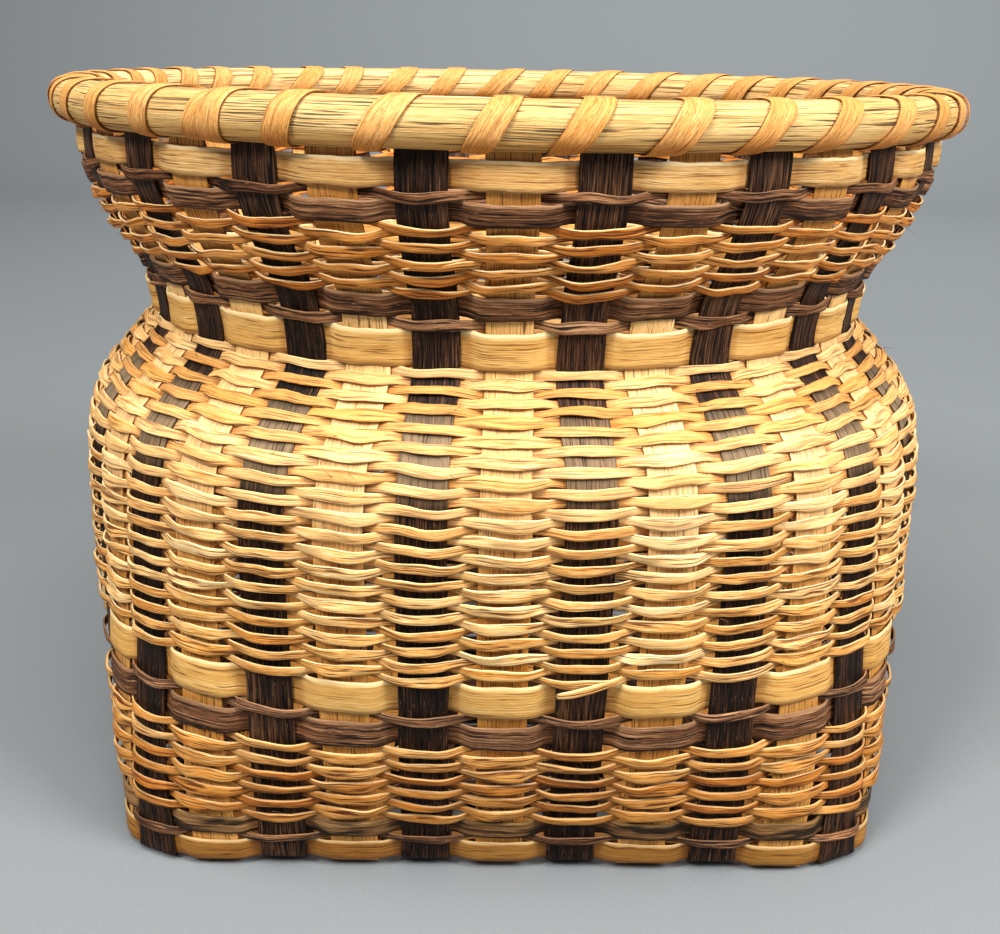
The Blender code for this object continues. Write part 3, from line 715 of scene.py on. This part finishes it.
def upright(name, i, j, over_at, crossings, node):
    """A splint up the wall at station i, under the base and up at station j."""
    rng = np.random.default_rng(300 + i * 7 + j)
    prof = profile("wide")
    a, b = prof[:, 0], prof[:, 1]
    dark = i % 2 == 1

    def leg(k, sgn):
        s = np.r_[np.arange(S_TOP, 9.0, -2.2), 9.0]
        z = z_of(s)
        w = np.interp(z, *UP_WIDTH) + wander(rng, s / 8, 1, 20, 0.22)
        metric = pick(WM, np.full_like(z, float(k)), z)
        lean = 0.25 * np.sin(s / 31.0 + rng.uniform(0, 6)) \
            + 0.15 * np.sin(s / 11.0 + rng.uniform(0, 6))
        u = k + (sgn * b[None] * w[:, None] / 2 + lean[:, None]) / metric[:, None]
        n = np.sin(s / 7.0 + rng.uniform(0, 6)) * 0.08
        return on_wall(u, np.repeat(z[:, None], len(b), 1),
                       n[:, None] + a[None] * UP_T / 2)

    first, last = leg(i, 1.0), leg(j, -1.0)
    ci, cj = first[-1].mean(0), last[-1].mean(0)
    xi = unit(first[-1][np.argmax(b)] - first[-1][np.argmin(b)])
    xj = unit(last[-1][np.argmax(b)] - last[-1][np.argmin(b)])
    fi = pick(WP, np.array([float(i)]), np.array([2.0]))[0]
    fj = pick(WP, np.array([float(j)]), np.array([2.0]))[0]
    ni = pick(WN, np.array([float(i)]), np.array([6.0]))[0]
    nj = pick(WN, np.array([float(j)]), np.array([6.0]))[0]
    fi, fj, ni, nj = (np.array([v[0], v[1], 0.0]) for v in (fi, fj, ni, nj))
    run = unit(fj - fi)
    length = np.linalg.norm(fj - fi)
    across = np.array([-run[1], run[0], 0.0])
    if across @ xi < 0:
        across = -across
    r = 2.4
    cross = np.array([c @ run - fi @ run for c in crossings])

    def lift(d):
        """Height of the middle of the splint along its run in the base."""
        z = np.full_like(d, 0.46)
        for n, (c, over) in enumerate(zip(cross, over_at)):
            if over:
                gap = np.abs(d - c)
                if c == cross.min():             # stays up from the foot on
                    gap = np.where(d < c, 0.0, gap)
                if c == cross.max():
                    gap = np.where(d > c, 0.0, gap)
                z = z + 1.0 * smooth01((13.2 - gap) / 3.4)
        return np.minimum(z, 1.46)

    def ground(x, y):
        # only the four corners of the base touch what it stands on
        q = np.abs(x / 156.0 * y / 128.4) ** 3
        return (DOME - 0.4) * (1.0 - smooth01((q - 0.36) / 0.20))

    outermost = abs(fi[1]) > 100.0 and abs(run[0]) > 0.9

    def hug(d):
        """The outermost splints lie close against the front and back walls."""
        if not outermost:
            return np.zeros(3)
        k = smooth01(min(d, length - d) / 30.0)
        return np.array([0.0, math.copysign(3.5, fi[1]), 0.0]) * k

    pts, ns = [], []
    for t in np.linspace(0.08, 1.0, 8):          # bend at the near foot
        ang = t * PI / 2
        d = r * (1 - math.cos(ang))
        inw = unit((1 - t) * -unit(ni) + t * run)
        zl = float(lift(np.array([4.0]))[0])
        pts.append(fi + inw * d + np.array([0, 0, zl + r * (1 - math.sin(ang))]))
        ns.append(unit(ni) * math.cos(ang) + np.array([0, 0, -1]) * math.sin(ang))
    d = np.linspace(r + 1.2, length - r - 1.2, 150)
    z = lift(d)
    for dd, zz in zip(d, z):
        q = fi + run * dd
        pts.append(q + hug(dd) + np.array([0, 0, zz]))
        ns.append(np.array([0.0, 0.0, -1.0]))
    for t in np.linspace(1.0, 0.08, 8):
        ang = t * PI / 2
        dd = r * (1 - math.cos(ang))
        inw = unit((1 - t) * -unit(nj) + t * -run)
        zl = float(lift(np.array([length - 4.0]))[0])
        pts.append(fj + inw * dd + np.array([0, 0, zl + r * (1 - math.sin(ang))]))
        ns.append(unit(nj) * math.cos(ang) + np.array([0, 0, -1]) * math.sin(ang))
    pts, ns = np.array(pts), np.array(ns)
    # at a corner the foot is folded along the chord of the wall, so that it
    # starts slanting and its edges still run straight across the base
    reach = np.r_[np.linspace(0, 3, 8), d, length - np.linspace(3, 0, 8)]
    ki, kj = smooth01(1 - reach / 22.0), smooth01(1 - (length - reach) / 22.0)
    span_i = np.linalg.norm(first[-1][np.argmax(b)] - first[-1][np.argmin(b)])
    span_j = np.linalg.norm(last[-1][np.argmax(b)] - last[-1][np.argmin(b)])
    wide = 19.0 + (span_i * (xi @ across) - 19.0) * ki \
        + (span_j * (xj @ across) - 19.0) * kj
    slant = span_i * (xi @ run) * ki + span_j * (xj @ run) * kj
    xs = across * wide[:, None] / 2 + run * slant[:, None] / 2
    off_i = np.array([ci[0] - fi[0], ci[1] - fi[1], 0.0])
    off_j = np.array([cj[0] - fj[0], cj[1] - fj[1], 0.0])
    pts = pts + off_i * ki[:, None] ** 4 + off_j * kj[:, None] ** 4
    base = pts[:, None] + xs[:, None] * b[None, :, None] \
        + ns[:, None] * (a[None, :, None] * UP_T / 2)
    base[..., 2] += ground(base[..., 0], base[..., 1])
    grid = np.concatenate([first, base, last[::-1]])
    grid[..., 2] = np.maximum(grid[..., 2], 0.02)
    centre = grid.mean(1)
    us = np.r_[0, np.cumsum(np.linalg.norm(np.diff(centre, axis=0), axis=1))]
    tone = np.zeros(grid.shape[:2] + (4,))
    tone[..., 0] = rng.uniform()
    tone[..., 1] = 1.0
    tone[..., 2] = np.where(np.abs(b) > 0.985, 0.0, 0.5)[None]
    tone[..., 3] = grid[..., 2] / 306.0
    ob = make(name, grid, False, us, 19.0, UP_T, prof, tone,
              UP_DARK if dark else UP_LIGHT)
    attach(ob, "root")
    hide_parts(node)
    return ob


def foot(k):
    p = pick(WP, np.array([float(k)]), np.array([2.0]))[0]
    return np.array([p[0], p[1], 0.0])


FB = [((i) % N_UP, (20 - i) % N_UP) for i in range(-5, 6)]
LR = [(i, (40 - i) % N_UP) for i in range(6, 15)]


def crossing(one, two):
    """Where two straight runs across the base cross."""
    p, q = foot(one[0]), foot(one[1])
    r, s = foot(two[0]), foot(two[1])
    d1, d2 = q - p, s - r
    t = ((r - p)[0] * d2[1] - (r - p)[1] * d2[0]) / (d1[0] * d2[1] - d1[1] * d2[0])
    return p + d1 * t


for k, one in enumerate(FB):
    i = k - 5
    over = [(i + m) % 2 == 1 for m in range(9)]
    upright("upright_front_back_%02d_splint" % (k + 1), one[0], one[1], over,
            [crossing(one, two) for two in LR],
            "upright_front_back_%02d" % (k + 1))
for m, two in enumerate(LR):
    over = [(i + m) % 2 == 0 for i in range(-5, 6)]
    upright("upright_left_right_%02d_splint" % (m + 1), two[0], two[1], over,
            [crossing(one, two) for one in FB],
            "upright_left_right_%02d" % (m + 1))


# ---------------------------------------------------------------- rim hoops
def outward(u):
    """Direction out from the middle at u uprights round the rim."""
    p = pick(WP, u, np.full_like(u, RIM_Z))
    p[..., 2] = 0.0
    return unit(p)


def round_rim(u, n, h):
    """Point at u uprights round the rim, n out from the wall, h up."""
    u, n, h = np.broadcast_arrays(np.asarray(u, float), n, h)
    p = outward(u) * (RIM_R + n)[..., None]
    p[..., 2] = RIM_Z + h
    return p


def hoop(name, side, mat, node, seed):
    rng = np.random.default_rng(seed)
    m = N_UP * 24
    u = 20 + np.arange(m) / 24
    k = 34
    ang = np.linspace(-PI / 2, PI / 2, k)
    h = 8.0 * np.sign(np.sin(ang)) * np.abs(np.sin(ang)) ** 0.92
    face = np.abs(np.cos(ang)) ** 0.80
    # shaved lengthwise facets and open grain
    groove = np.zeros((m, k))
    for _ in range(26):
        c, w = rng.uniform(-7.5, 7.5), rng.uniform(0.25, 0.8)
        depth = rng.uniform(0.03, 0.13)
        lo = wander(rng, u, 3, 40, 1.0)
        cc = c + 0.3 * wander(rng, u, 2, 12, 1.0)
        groove -= depth * np.clip(lo, 0, 1.5)[:, None] \
            * np.exp(-((h[None] - cc[:, None]) / w) ** 2)
    fat = 1 + wander(rng, u, 3, 22, 0.02)
    tall = 1 + wander(rng, u, 3, 22, 0.014)
    n = 0.75 + 9.75 * face[None] * fat[:, None] + groove * face[None]
    hh = h[None] * tall[:, None]
    back = np.linspace(1, -1, 8)[1:-1]
    n = np.concatenate([n, np.full((m, 6), 0.75)], 1)
    hh = np.concatenate([hh, back[None] * 8.0 * tall[:, None]], 1)
    grid = round_rim(u[:, None], side * n, hh)
    centre = grid.mean(1)
    us = np.r_[0, np.cumsum(np.linalg.norm(
        np.diff(np.vstack([centre, centre[:1]]), axis=0), axis=1))]
    prof = np.stack([n.mean(0) / 5.0, hh.mean(0) / 8.0], 1)
    tone = np.zeros(grid.shape[:2] + (4,))
    tone[..., 0] = 0.3
    tone[..., 1] = 1.0
    tone[..., 2] = 0.5
    tone[..., 3] = (grid[..., 2] - RIM_Z) / 16.0 + 0.5
    ob = make(name, grid, True, us, 16.0, 10.0, prof, tone, mat)
    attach(ob, "root")
    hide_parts(node)
    return ob


hoop("outer_rim_hoop_oak", 1.0, HOOP, "outer_rim_hoop", 5)
hoop("inner_rim_hoop_oak", -1.0, HOOP_IN, "inner_rim_hoop", 6)


# ------------------------------------------------------------------ lashing
def rim_oval(t, off):
    """Cross-section that a taut splint follows round both hoops; t goes from
    the bottom (0) up the outside to the top (0.5) and down the inside."""
    ang = -PI / 2 + 2 * PI * t
    c, s = np.cos(ang), np.sin(ang)
    n = (10.55 + off) * np.sign(c) * np.abs(c) ** 0.80
    h = (8.05 + off) * np.sign(s) * np.abs(s) ** 0.88
    return n, h


def strap(name, us0, us1, slant, width, thick, off, t0, t1, rng,
          closed=False, samples=44):
    """Wraps of the lashing, each from its place us0 in one gap to us1 in the
    next; slant is how far it leans on its way up the outside."""
    prof = profile("wide")
    a, b = prof[:, 0], prof[:, 1]
    t = np.linspace(t0, t1, samples, endpoint=not closed)
    u_all, n_all, h_all, w_all = [], [], [], []
    for k, (start, end, lean) in enumerate(zip(us0, us1, slant)):
        # up the outside it leans to the right, and it dives on the inside
        rise = lean * smooth01((t - 0.02) / 0.46)
        rest = (end - start - lean) * smooth01((t - 0.50) / 0.48)
        u_all.append(start + rise + rest)
        n, h = rim_oval(t, off)
        n_all.append(n)
        h_all.append(h)
        dive = np.exp(-(np.minimum(t, 1 - t) / 0.07) ** 2)
        w_all.append(width[k] * (1 - 0.2 * dive))
    u, n, h = (np.concatenate(v) for v in (u_all, n_all, h_all))
    w = np.concatenate(w_all) * (1 + 0.03 * np.sin(u * 9.1))
    mid = round_rim(u, n, h)
    if closed:
        d = np.roll(mid, -1, 0) - np.roll(mid, 1, 0)
        d[0] = mid[1] - mid[-1]
        d[-1] = mid[0] - mid[-2]
    else:
        d = np.gradient(mid, axis=0)
    d = unit(d)
    radial = outward(u)
    tt = np.tile(t, len(us0))
    eps = 1e-3
    n1, h1 = rim_oval(tt + eps, off)
    n0, h0 = rim_oval(tt - eps, off)
    out = radial * (h1 - h0)[:, None] + np.array([0, 0, 1.0]) * -(n1 - n0)[:, None]
    out = unit(out)
    across = unit(np.cross(d, out))
    out = unit(np.cross(across, d))
    wob = wander(rng, u, 30, 200, 0.10)
    grid = mid[:, None] + across[:, None] * (b[None, :, None] * w[:, None, None] / 2) \
        + out[:, None] * (a[None, :, None] * thick / 2 + wob[:, None, None]
                          - 0.15 * (b[None, :, None] ** 2))
    us = np.r_[0, np.cumsum(np.linalg.norm(np.diff(mid, axis=0), axis=1))]
    if closed:
        us = np.r_[us, us[-1] + np.linalg.norm(mid[0] - mid[-1])]
    tone = np.zeros(grid.shape[:2] + (4,))
    tone[..., 0] = 0.5
    tone[..., 1] = 1.0
    tone[..., 2] = np.where(np.abs(b) > 0.985, 0.0, 0.5)[None]
    tone[..., 3] = (grid[..., 2] - RIM_Z) / 18.0 + 0.5
    return make(name, grid, closed, us, float(np.mean(width)), thick, prof,
                tone, LASH)


# wraps at the front: gap, then place in the gap and lean, in uprights
FRONT_WRAPS = {-8: (0.0, 0.2), -7: (0.0, 0.18), -6: (0.0, 0.16),
               -5: (0.05, 0.14), -4: (0.15, 0.13), -3: (-0.04, 0.23),
               -2: (-0.04, 0.38), -1: (0.09, 0.34), 0: (-0.03, 0.40),
               1: (0.01, 0.42), 2: (-0.03, 0.46), 3: (-0.12, 0.55),
               4: (-0.08, 0.55), 5: (0.0, 0.5), 6: (0.0, 0.5), 7: (0.0, 0.45)}
_rl = np.random.default_rng(77)
starts = [k - 19.5 + 0.04 * _rl.normal() for k in range(N_UP)]
leans = [0.36 + 0.04 * _rl.normal() for _ in starts]
widths = [9.4 + 0.4 * _rl.normal() for _ in starts]
for _gap, (_at, _lean) in FRONT_WRAPS.items():
    starts[_gap + 20] = _gap + 0.5 + _at
    leans[_gap + 20] = _lean
lash = strap("rim_lashing_splint", starts, starts[1:] + [starts[0] + N_UP],
             leans, widths, 0.7, 0.62, 0.0, 1.0, _rl, closed=True, samples=44)
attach(lash, "root")
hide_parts("rim_lashing")
# the tucked end of the lashing shows as a second layer under one wrap
splice = strap("rim_lashing_tucked_end", [-3.64], [-2.64], [0.34], [9.6], 0.45,
               0.28, 0.02, 0.62, _rl)
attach(splice, "root")


# --------------------------------------------------------- loose weaver ends
def loose(name, u, s, n, w, thick, mat, seed):
    """A short splint end that lies on the wall: its place, height up the wall,
    stand-off and width are given from one end to the other."""
    rng = np.random.default_rng(seed)
    k = np.linspace(0, 1, 30)
    knots = np.linspace(0, 1, len(u))
    uu, ss, nn, ww = (pchip(knots, v, k) for v in (u, s, n, w))
    prof = profile("narrow")
    a, b = prof[:, 0], prof[:, 1]
    jag = np.zeros((30, len(a)))
    jag[0] = rng.normal(size=len(a)) * 0.02
    tt = thick * (0.35 + 0.65 * smooth01(np.minimum(k, 1 - k) / 0.12))
    grid = on_wall(uu[:, None] + jag,
                   z_of(ss[:, None] + b[None] * ww[:, None] / 2),
                   nn[:, None] + a[None] * tt[:, None] / 2)
    us = np.r_[0, np.cumsum(np.linalg.norm(np.diff(grid.mean(1), axis=0),
                                           axis=1))]
    tone = np.zeros(grid.shape[:2] + (4,))
    tone[..., 0] = rng.uniform()
    tone[..., 1] = 1.0
    tone[..., 2] = np.where(b > 0.95, 1.0, np.where(b < -0.95, 0.0, 0.5))[None]
    tone[..., 3] = grid[..., 2] / 306.0
    ob = make(name, grid, False, us, float(np.mean(w)), thick, prof, tone, mat)
    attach(ob, "root")
    return ob


loose("weaver_end_cut", [0.68, 0.85, 1.05, 1.3, 1.5],
      [99.4, 100.3, 101.9, 103.4, 104.2], [4.3, 4.4, 4.2, 2.6, 0.5],
      [2.3, 3.4, 3.6, 3.4, 3.0], 1.0, NARROW_LIGHT, 1)
loose("weaver_end_taper_left", [-3.45, -3.2, -2.95, -2.7, -2.5],
      [165.6, 166.2, 166.9, 167.3, 167.6], [0.9, 2.3, 2.6, 2.2, 1.2],
      [3.0, 2.8, 2.2, 1.3, 0.5], 0.8, NARROW_TAN, 2)
loose("weaver_end_taper_right", [3.45, 3.1, 2.9, 2.6, 2.3],
      [157.6, 157.9, 158.4, 158.7, 159.0], [0.9, 2.2, 2.6, 2.2, 1.6],
      [3.0, 2.8, 2.4, 1.6, 0.5], 0.8, NARROW_TAN, 3)
loose("weaver_sliver", [2.75, 2.9, 3.05, 3.15, 3.25],
      [139.6, 140.2, 140.4, 140.9, 141.4], [2.4, 2.7, 2.6, 2.7, 2.9],
      [0.5, 1.0, 0.9, 0.7, 0.3], 0.4, NARROW_LIGHT, 4)
loose("weaver_end_neck", [-0.35, -0.6, -0.85, -1.1, -1.3],
      [268.6, 268.2, 267.6, 267.2, 266.8], [0.8, 1.6, 2.6, 2.7, 2.9],
      [2.8, 2.6, 2.0, 1.2, 0.4], 0.7, NARROW_LIGHT, 5)


# ------------------------------------------------------------- stray fibres
def fibres(name, seeds, mat):
    """Hair-thin slivers that stand off the edges of the splints."""
    verts, faces = [], []
    for p, d, bend, length, rad in seeds:
        p, d, bend = np.array(p), unit(np.array(d)), np.array(bend)
        side = unit(np.cross(d, np.array([0.31, 0.17, 0.93])))
        up = np.cross(d, side)
        first = len(verts)
        n, ring = 7, 5
        for a in range(n):
            t = a / (n - 1)
            c = p + d * length * t + bend * length * t * t
            r = rad * (1 - 0.85 * t)
            for b in range(ring):
                ang = 2 * PI * b / ring
                verts.append(c + (side * math.cos(ang) + up * math.sin(ang)) * r)
        for a in range(n - 1):
            for b in range(ring):
                b2 = (b + 1) % ring
                faces.append((first + a * ring + b, first + a * ring + b2,
                              first + (a + 1) * ring + b2,
                              first + (a + 1) * ring + b))
        faces.append(tuple(first + b for b in range(ring))[::-1])
        faces.append(tuple(first + (n - 1) * ring + b for b in range(ring)))
    me = bpy.data.meshes.new(name)
    me.from_pydata([tuple(v * MM) for v in verts], [], faces)
    me.shade_smooth()
    uv = me.uv_layers.new(name="splint")
    co = np.array([me.vertices[l.vertex_index].co[:] for l in me.loops])
    uv.data.foreach_set("uv", np.stack([co[:, 2], co[:, 0]], 1)
                        .astype(np.float32).ravel())
    att = me.attributes.new("tone", "FLOAT_COLOR", "POINT")
    att.data.foreach_set("color", np.tile([0.2, 1.0, 0.0, 0.5], len(verts))
                         .astype(np.float32))
    me.materials.append(mat)
    ob = bpy.data.objects.new(name, me)
    bpy.context.scene.collection.objects.link(ob)
    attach(ob, "root")
    return ob


_rs = np.random.default_rng(9)
seeds = []
for _ in range(420):
    u = _rs.uniform(0, N_UP)
    s = _rs.choice([_rs.uniform(30, 68), _rs.uniform(104, 222),
                    _rs.uniform(104, 222), _rs.uniform(254, 300)])
    z = float(z_of(s))
    up = np.array([u]), np.array([z])
    P, T, N = pick(WP, *up)[0], pick(WT, *up)[0], pick(WN, *up)[0]
    up = np.cross(N, T)
    d = T * _rs.choice((-1, 1)) * _rs.uniform(0.3, 1) + N * _rs.uniform(0.05, 0.5) \
        + up * _rs.normal() * 0.35
    seeds.append((P + N * _rs.uniform(1.2, 2.6), d,
                  N * _rs.uniform(-0.1, 0.3) + up * _rs.normal() * 0.2,
                  _rs.uniform(2.0, 7.5), _rs.uniform(0.06, 0.14)))
fibres("stray_fibres", seeds, NARROW_LIGHT)


# -------------------------------------------------------------------- stage
def plain(name, colour, rough, scale, amount):
    s = Shader(name)
    tc = s.node("ShaderNodeTexCoord")
    v = s.noise(tc.outputs["Object"], (scale, scale, scale), 3.0)
    c0 = tuple(x * (1 - amount) for x in rgb(colour)[:3]) + (1.0,)
    col = s.ramp(v, [(0.3, c0), (0.7, rgb(colour))])
    return s.finish(col, rough, v, 0.15, 0.0004, 0.2)


def backdrop():
    """Pale floor that curves up into a wall far behind."""
    pts = [(-9.0, 0.0)]
    r, y1 = 0.9, 2.2
    pts.append((y1, 0.0))
    for k in range(1, 17):
        a = k / 16 * PI / 2
        pts.append((y1 + r * math.sin(a), r * (1 - math.cos(a))))
    pts.append((y1 + r, 4.0))
    verts, faces = [], []
    for y, z in pts:
        verts += [(-9.0, y, z), (9.0, y, z)]
    for k in range(len(pts) - 1):
        faces.append((2 * k, 2 * k + 1, 2 * k + 3, 2 * k + 2))
    me = bpy.data.meshes.new("floor")
    me.from_pydata(verts, [], faces)
    me.shade_smooth()
    me.materials.append(plain("floor_pale", "767A7C", 0.85, 900.0, 0.10))
    ob = bpy.data.objects.new("floor", me)
    bpy.context.scene.collection.objects.link(ob)


backdrop()


def lamp(name, place, target, size, power, colour=(1, 1, 1)):
    data = bpy.data.lights.new(name, "AREA")
    data.shape = "RECTANGLE"
    data.size, data.size_y = size
    data.energy = power
    data.color = colour
    ob = bpy.data.objects.new(name, data)
    ob.location = place
    ob.rotation_euler = (Vector(target) - Vector(place)).to_track_quat(
        "-Z", "Y").to_euler()
    bpy.context.scene.collection.objects.link(ob)


lamp("top", (-0.10, -0.55, 1.50), (0, 0, 0.15), (0.9, 0.7), 25.0, (1, 0.99, 0.965))
lamp("key", (-1.0, -1.42, 1.62), (0, 0, 0.15), (0.6, 0.5), 49.0, (1, 0.985, 0.96))
lamp("fill", (1.3, -1.05, 1.32), (0, 0, 0.15), (0.8, 0.7), 56.0, (1, 0.99, 0.97))
lamp("backdrop", (0.7, 1.3, 2.2), (0.8, 3.1, 0.7), (2.5, 0.6), 86.0)
world = bpy.data.worlds.new("studio")
world.use_nodes = True
world.node_tree.nodes["Background"].inputs[0].default_value = (0.97, 0.98, 1, 1)
world.node_tree.nodes["Background"].inputs[1].default_value = 0.26
bpy.context.scene.world = world
bpy.context.scene.view_settings.view_transform = "Standard"
bpy.context.scene.view_settings.look = "None"


# ------------------------------------------------------------------- camera
def camera():
    place = Vector((-0.00686, -0.608, 0.3226))
    pitch, yaw, roll = 0.3068, 0.0101, 0.0186
    forward = Vector((math.sin(yaw) * math.cos(pitch),
                      math.cos(yaw) * math.cos(pitch), -math.sin(pitch)))
    right = Vector((math.cos(yaw), -math.sin(yaw), 0.0))
    up = right.cross(forward)
    r = right * math.cos(roll) + up * math.sin(roll)
    u = -right * math.sin(roll) + up * math.cos(roll)
    data = bpy.data.cameras.new("camera")
    data.sensor_fit = "HORIZONTAL"
    data.sensor_width = 36.0
    data.lens = 36.0 * 1361.3 / 1000.0
    data.clip_start, data.clip_end = 0.01, 30.0
    ob = bpy.data.objects.new("camera", data)
    m = Matrix((r, u, -forward)).transposed().to_4x4()
    m.translation = place
    ob.matrix_world = m
    bpy.context.scene.collection.objects.link(ob)
    bpy.context.scene.camera = ob


camera()
